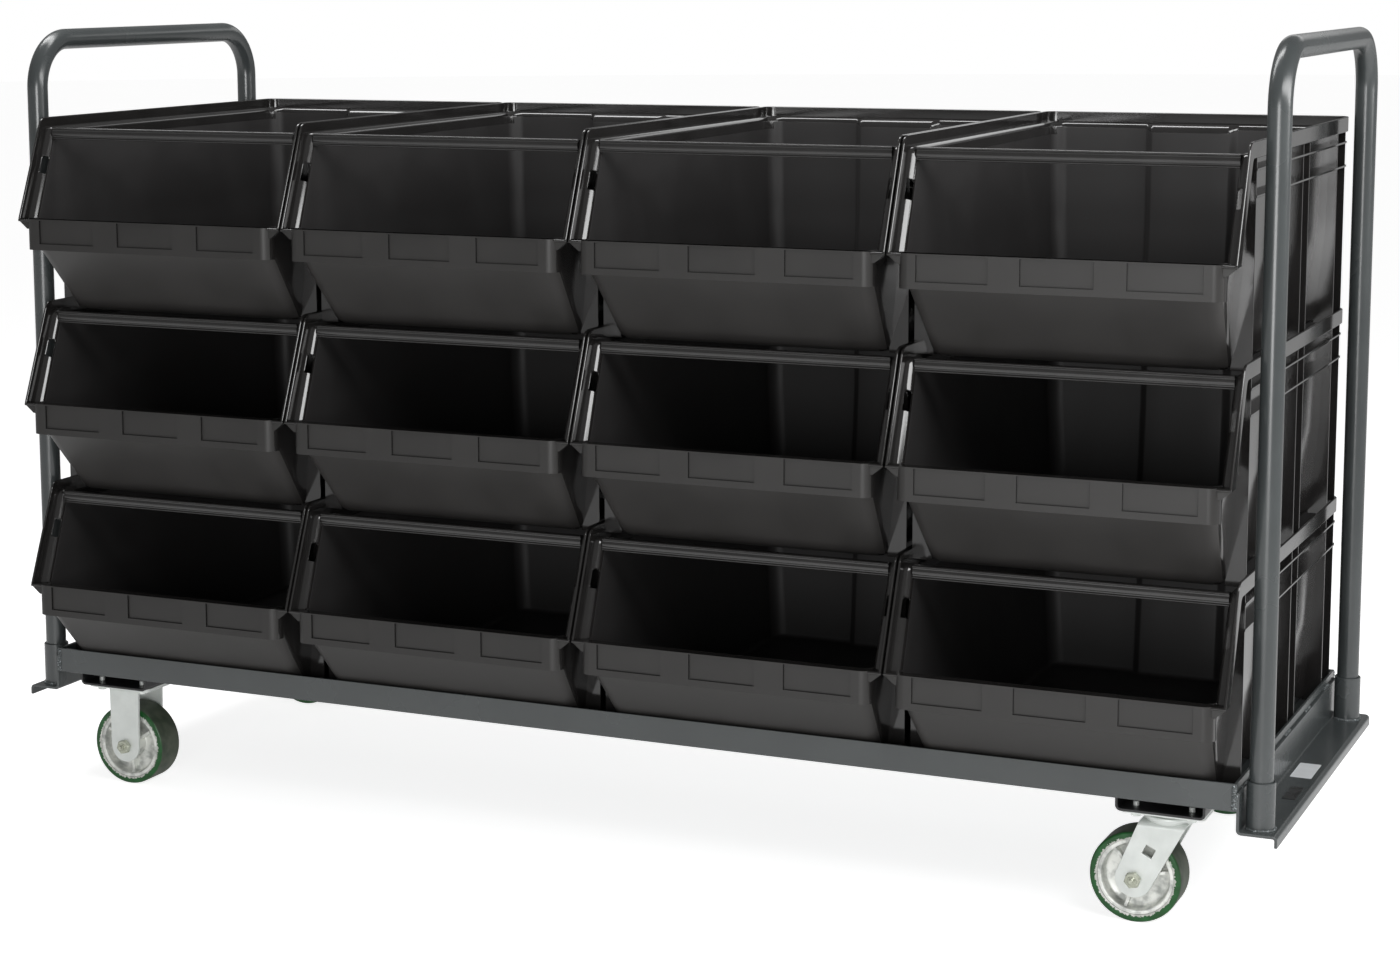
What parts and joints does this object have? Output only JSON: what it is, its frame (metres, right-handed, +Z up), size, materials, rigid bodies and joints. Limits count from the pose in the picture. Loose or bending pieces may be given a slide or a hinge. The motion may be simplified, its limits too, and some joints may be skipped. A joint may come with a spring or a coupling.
{
  "type": "tote cart",
  "caption": "Long wheeled steel base carrying stacked open-front plastic totes, with lift-out tube handles at both ends and rigid and swivel casters",
  "frame": {"origin": "on the floor under the middle of the cart, half way along its length and depth", "axes": "+X along the cart to the swivel caster end, -Y the way the totes open, +Z up"},
  "size_m": [1.99, 0.747, 1.1996],
  "materials": {
    "black_plastic": "smooth moulded polymer with a satin sheen",
    "crossbar_plastic": "smooth moulded bar, ribbed along its length",
    "slate_powder_coat": "slate grey powder coat with a light orange peel",
    "deck_powder_coat": "slate grey powder coat, scuffed by totes",
    "zinc_plate": "bright zinc plated pressed steel",
    "cast_wheel": "silver painted casting",
    "green_tread": "moulded elastomer, green at the sides and worn grey on the tread"
  },
  "bodies": {
    "cart_frame": {"deck_sheet": "deck_powder_coat", "front_rail": "slate_powder_coat", "left_caster_channel": "slate_powder_coat", "left_end_rail": "slate_powder_coat", "left_front_socket": "slate_powder_coat", "left_rear_socket": "slate_powder_coat", "left_step": "slate_powder_coat", "rear_rail": "slate_powder_coat", "right_caster_channel": "slate_powder_coat", "right_end_rail": "slate_powder_coat", "right_front_socket": "slate_powder_coat", "right_rear_socket": "slate_powder_coat", "right_step": "slate_powder_coat", "rigid_caster_front_axle": "zinc_plate", "rigid_caster_front_fork": "zinc_plate", "rigid_caster_rear_axle": "zinc_plate", "rigid_caster_rear_fork": "zinc_plate", "swivel_caster_front_kingpin": "zinc_plate", "swivel_caster_front_plate": "zinc_plate", "swivel_caster_rear_kingpin": "zinc_plate", "swivel_caster_rear_plate": "zinc_plate"},
    "tote_row1_col1_body": {"tote_row1_col1": "black_plastic", "tote_row1_col1_crossbar": "crossbar_plastic"},
    "tote_row2_col1_body": {"tote_row2_col1": "black_plastic", "tote_row2_col1_crossbar": "crossbar_plastic"},
    "tote_row3_col1_body": {"tote_row3_col1": "black_plastic", "tote_row3_col1_crossbar": "crossbar_plastic"},
    "tote_row1_col2_body": {"tote_row1_col2": "black_plastic", "tote_row1_col2_crossbar": "crossbar_plastic"},
    "tote_row2_col2_body": {"tote_row2_col2": "black_plastic", "tote_row2_col2_crossbar": "crossbar_plastic"},
    "tote_row3_col2_body": {"tote_row3_col2": "black_plastic", "tote_row3_col2_crossbar": "crossbar_plastic"},
    "tote_row1_col3_body": {"tote_row1_col3": "black_plastic", "tote_row1_col3_crossbar": "crossbar_plastic"},
    "tote_row2_col3_body": {"tote_row2_col3": "black_plastic", "tote_row2_col3_crossbar": "crossbar_plastic"},
    "tote_row3_col3_body": {"tote_row3_col3": "black_plastic", "tote_row3_col3_crossbar": "crossbar_plastic"},
    "tote_row1_col4_body": {"tote_row1_col4": "black_plastic", "tote_row1_col4_crossbar": "crossbar_plastic"},
    "tote_row2_col4_body": {"tote_row2_col4": "black_plastic", "tote_row2_col4_crossbar": "crossbar_plastic"},
    "tote_row3_col4_body": {"tote_row3_col4": "black_plastic", "tote_row3_col4_crossbar": "crossbar_plastic"},
    "left_handle_body": {"left_handle": "slate_powder_coat"},
    "right_handle_body": {"right_handle": "slate_powder_coat"},
    "swivel_front": {"swivel_caster_front_fork": "zinc_plate", "swivel_caster_front_axle": "zinc_plate"},
    "swivel_front_wheel": {"swivel_caster_front_wheel": "cast_wheel", "swivel_caster_front_tread": "green_tread"},
    "rigid_front_wheel": {"rigid_caster_front_wheel": "cast_wheel", "rigid_caster_front_tread": "green_tread"},
    "swivel_rear": {"swivel_caster_rear_fork": "zinc_plate", "swivel_caster_rear_axle": "zinc_plate"},
    "swivel_rear_wheel": {"swivel_caster_rear_wheel": "cast_wheel", "swivel_caster_rear_tread": "green_tread"},
    "rigid_rear_wheel": {"rigid_caster_rear_wheel": "cast_wheel", "rigid_caster_rear_tread": "green_tread"}
  },
  "joints": [
    {"name": "tote_row1_col1_lift", "type": "slide", "parent": "cart_frame", "child": "tote_row1_col1_body", "axis": [0, 0, 1], "range_m": [0, 0.05]},
    {"name": "tote_row2_col1_lift", "type": "slide", "parent": "tote_row1_col1_body", "child": "tote_row2_col1_body", "axis": [0, 0, 1], "range_m": [0, 0.05]},
    {"name": "tote_row3_col1_lift", "type": "slide", "parent": "tote_row2_col1_body", "child": "tote_row3_col1_body", "axis": [0, 0, 1], "range_m": [0, 0.05]},
    {"name": "tote_row1_col2_lift", "type": "slide", "parent": "cart_frame", "child": "tote_row1_col2_body", "axis": [0, 0, 1], "range_m": [0, 0.05]},
    {"name": "tote_row2_col2_lift", "type": "slide", "parent": "tote_row1_col2_body", "child": "tote_row2_col2_body", "axis": [0, 0, 1], "range_m": [0, 0.05]},
    {"name": "tote_row3_col2_lift", "type": "slide", "parent": "tote_row2_col2_body", "child": "tote_row3_col2_body", "axis": [0, 0, 1], "range_m": [0, 0.05]},
    {"name": "tote_row1_col3_lift", "type": "slide", "parent": "cart_frame", "child": "tote_row1_col3_body", "axis": [0, 0, 1], "range_m": [0, 0.05]},
    {"name": "tote_row2_col3_lift", "type": "slide", "parent": "tote_row1_col3_body", "child": "tote_row2_col3_body", "axis": [0, 0, 1], "range_m": [0, 0.05]},
    {"name": "tote_row3_col3_lift", "type": "slide", "parent": "tote_row2_col3_body", "child": "tote_row3_col3_body", "axis": [0, 0, 1], "range_m": [0, 0.05]},
    {"name": "tote_row1_col4_lift", "type": "slide", "parent": "cart_frame", "child": "tote_row1_col4_body", "axis": [0, 0, 1], "range_m": [0, 0.05]},
    {"name": "tote_row2_col4_lift", "type": "slide", "parent": "tote_row1_col4_body", "child": "tote_row2_col4_body", "axis": [0, 0, 1], "range_m": [0, 0.05]},
    {"name": "tote_row3_col4_lift", "type": "slide", "parent": "tote_row2_col4_body", "child": "tote_row3_col4_body", "axis": [0, 0, 1], "range_m": [0, 0.05]},
    {"name": "left_handle_lift", "type": "slide", "parent": "cart_frame", "child": "left_handle_body", "axis": [0, 0, 1], "range_m": [0, 0.08]},
    {"name": "right_handle_lift", "type": "slide", "parent": "cart_frame", "child": "right_handle_body", "axis": [0, 0, 1], "range_m": [0, 0.08]},
    {"name": "swivel_caster_front_swivel", "type": "hinge", "parent": "cart_frame", "child": "swivel_front", "pos_m": [0.838, -0.2362, 0.1458], "axis": [0, 0, 1], "continuous": true},
    {"name": "swivel_caster_front_roll", "type": "hinge", "parent": "swivel_front", "child": "swivel_front_wheel", "pos_m": [0.797, -0.2362, 0.0635], "axis": [0, 1, 0], "continuous": true},
    {"name": "rigid_caster_front_roll", "type": "hinge", "parent": "cart_frame", "child": "rigid_front_wheel", "pos_m": [-0.838, -0.2362, 0.0635], "axis": [0, 1, 0], "continuous": true},
    {"name": "swivel_caster_rear_swivel", "type": "hinge", "parent": "cart_frame", "child": "swivel_rear", "pos_m": [0.838, 0.3048, 0.1458], "axis": [0, 0, 1], "continuous": true},
    {"name": "swivel_caster_rear_roll", "type": "hinge", "parent": "swivel_rear", "child": "swivel_rear_wheel", "pos_m": [0.797, 0.3048, 0.0635], "axis": [0, 1, 0], "continuous": true},
    {"name": "rigid_caster_rear_roll", "type": "hinge", "parent": "cart_frame", "child": "rigid_rear_wheel", "pos_m": [-0.838, 0.3048, 0.0635], "axis": [0, 1, 0], "continuous": true}
  ]
}
